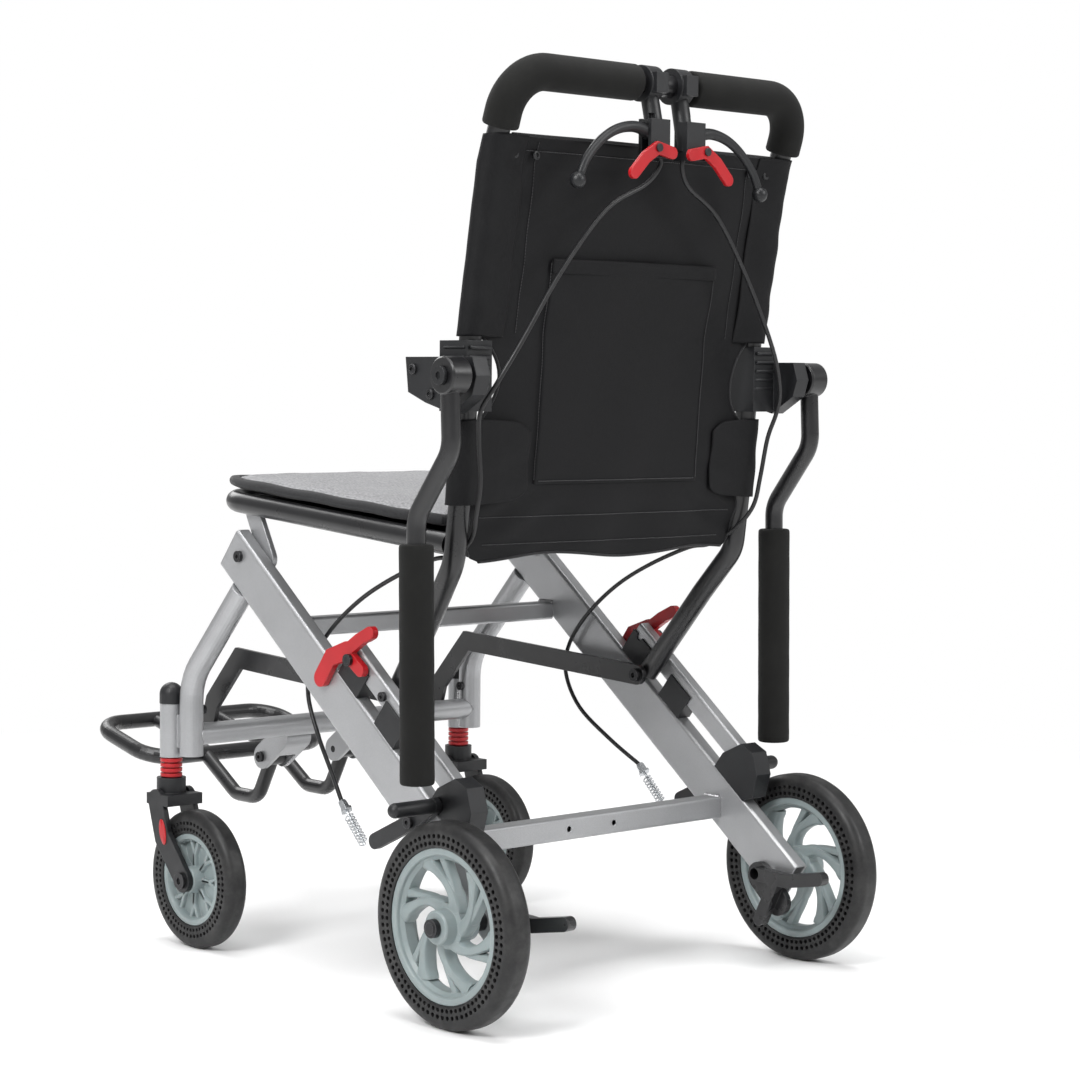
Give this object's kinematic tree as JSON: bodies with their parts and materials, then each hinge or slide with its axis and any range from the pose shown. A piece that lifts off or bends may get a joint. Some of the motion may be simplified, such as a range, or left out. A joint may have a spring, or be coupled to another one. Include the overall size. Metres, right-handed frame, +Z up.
{
  "type": "transport wheelchair",
  "caption": "Light folding transport wheelchair with push bar, brake levers, flip-down armrests, footrest, swivel casters and fixed rear wheels.",
  "frame": {"origin": "on the floor, under the middle of the chair's overall length and width", "axes": "+Z up, the chair faces -Y, +X to the sitter's left"},
  "size_m": [0.552, 0.8978, 0.929],
  "materials": {
    "silver_paint": "satin",
    "red_plastic": "satin",
    "wheel_plastic": "satin",
    "tyre_rubber": "matte",
    "black_paint": "satin",
    "foam": "matte",
    "seat_fabric": "woven",
    "back_fabric": "woven",
    "black_steel": "satin",
    "cable_jacket": "satin",
    "zinc_steel": "satin",
    "black_plastic": "satin"
  },
  "bodies": {
    "frame": {"rail_left": "silver_paint", "rail_right": "silver_paint", "leg_left": "silver_paint", "leg_right": "silver_paint", "front_cross_tube": "silver_paint", "middle_cross_tube": "silver_paint", "rear_cross_tube": "silver_paint", "footrest_brackets": "silver_paint", "stem_caps": "black_plastic", "stem_boots": "red_plastic", "fold_links": "black_paint", "struts": "silver_paint", "strut_saddles": "black_plastic", "brake_block_left": "black_plastic", "brake_block_right": "black_plastic", "tip_levers": "black_paint", "axle_left": "black_steel", "axle_right": "black_steel", "frame_bolts": "black_steel", "seat_frame": "black_paint", "seat_tabs": "silver_paint", "seat_pad": "seat_fabric", "back_tube": "black_paint", "push_grips": "foam", "lever_perch_left": "black_plastic", "lever_perch_right": "black_plastic", "back_sling": "back_fabric", "arm_bracket_left": "black_plastic", "arm_bracket_right": "black_plastic", "brake_cables": "cable_jacket", "cable_adjusters": "zinc_steel"},
    "rear_wheel_left": {"rear_rim_left": "wheel_plastic", "rear_tyre_left": "tyre_rubber"},
    "rear_wheel_right": {"rear_rim_right": "wheel_plastic", "rear_tyre_right": "tyre_rubber"},
    "caster_left": {"caster_fork_left": "black_plastic", "caster_axle_left": "black_steel"},
    "caster_right": {"caster_fork_right": "black_plastic", "caster_axle_right": "black_steel"},
    "caster_wheel_left": {"caster_rim_left": "wheel_plastic", "caster_tyre_left": "tyre_rubber"},
    "caster_wheel_right": {"caster_rim_right": "wheel_plastic", "caster_tyre_right": "tyre_rubber"},
    "armrest_left": {"arm_tube_left": "black_paint", "arm_pad_left": "foam"},
    "armrest_right": {"arm_tube_right": "black_paint", "arm_pad_right": "foam"},
    "lever_left": {"brake_lever_left": "black_plastic"},
    "lever_right": {"brake_lever_right": "black_plastic"},
    "latch_left": {"park_latch_left": "red_plastic"},
    "latch_right": {"park_latch_right": "red_plastic"},
    "hook_left": {"fold_hook_left": "red_plastic"},
    "hook_right": {"fold_hook_right": "red_plastic"},
    "brake_left": {"brake_arm_left": "black_plastic"},
    "brake_right": {"brake_arm_right": "black_plastic"},
    "footrest": {"footrest": "black_paint"}
  },
  "joints": [
    {"name": "rear_wheel_spin_left", "type": "hinge", "parent": "frame", "child": "rear_wheel_left", "pos_m": [0.247, 0.349, 0.1], "axis": [1, 0, 0], "continuous": true},
    {"name": "caster_swivel_left", "type": "hinge", "parent": "frame", "child": "caster_left", "pos_m": [0.209, -0.168, 0.2], "axis": [0, 0, 1], "continuous": true},
    {"name": "caster_spin_left", "type": "hinge", "parent": "caster_left", "child": "caster_wheel_left", "pos_m": [0.209, -0.116, 0.075], "axis": [1, 0, 0], "continuous": true},
    {"name": "armrest_flip_left", "type": "hinge", "parent": "frame", "child": "armrest_left", "pos_m": [0.253, 0.347, 0.622], "axis": [-1, 0, 0], "range_deg": [0, 90]},
    {"name": "lever_squeeze_left", "type": "hinge", "parent": "frame", "child": "lever_left", "pos_m": [0.033, 0.387, 0.862], "axis": [0, -1, 0], "range_deg": [0, 18], "stiffness_Nm_per_rad": 0.5},
    {"name": "park_latch_left", "type": "hinge", "parent": "frame", "child": "latch_left", "pos_m": [0.034, 0.4006, 0.846], "axis": [0, -1, 0], "range_deg": [0, 14]},
    {"name": "fold_hook_left", "type": "hinge", "parent": "frame", "child": "hook_left", "pos_m": [0.2153, 0.1556, 0.3362], "axis": [-1, 0, 0], "range_deg": [0, 25]},
    {"name": "brake_press_left", "type": "hinge", "parent": "frame", "child": "brake_left", "pos_m": [0.218, 0.254, 0.184], "axis": [-1, 0, 0], "range_deg": [0, 18]},
    {"name": "rear_wheel_spin_right", "type": "hinge", "parent": "frame", "child": "rear_wheel_right", "pos_m": [-0.247, 0.349, 0.1], "axis": [1, 0, 0], "continuous": true},
    {"name": "caster_swivel_right", "type": "hinge", "parent": "frame", "child": "caster_right", "pos_m": [-0.209, -0.168, 0.2], "axis": [0, 0, 1], "continuous": true},
    {"name": "caster_spin_right", "type": "hinge", "parent": "caster_right", "child": "caster_wheel_right", "pos_m": [-0.209, -0.116, 0.075], "axis": [1, 0, 0], "continuous": true},
    {"name": "armrest_flip_right", "type": "hinge", "parent": "frame", "child": "armrest_right", "pos_m": [-0.253, 0.347, 0.622], "axis": [-1, 0, 0], "range_deg": [0, 90]},
    {"name": "lever_squeeze_right", "type": "hinge", "parent": "frame", "child": "lever_right", "pos_m": [-0.033, 0.387, 0.862], "axis": [0, 1, 0], "range_deg": [0, 18], "stiffness_Nm_per_rad": 0.5},
    {"name": "park_latch_right", "type": "hinge", "parent": "frame", "child": "latch_right", "pos_m": [-0.034, 0.4006, 0.846], "axis": [0, 1, 0], "range_deg": [0, 14]},
    {"name": "fold_hook_right", "type": "hinge", "parent": "frame", "child": "hook_right", "pos_m": [-0.2153, 0.1556, 0.3362], "axis": [-1, 0, 0], "range_deg": [0, 25]},
    {"name": "brake_press_right", "type": "hinge", "parent": "frame", "child": "brake_right", "pos_m": [-0.218, 0.254, 0.184], "axis": [-1, 0, 0], "range_deg": [0, 18]},
    {"name": "footrest_flip", "type": "hinge", "parent": "frame", "child": "footrest", "pos_m": [0, -0.191, 0.188], "axis": [-1, 0, 0], "range_deg": [0, 80]}
  ],
  "couplings": [
    {"joint": "brake_press_left", "follows": "lever_squeeze_left", "ratio": 1},
    {"joint": "brake_press_right", "follows": "lever_squeeze_right", "ratio": 1}
  ]
}
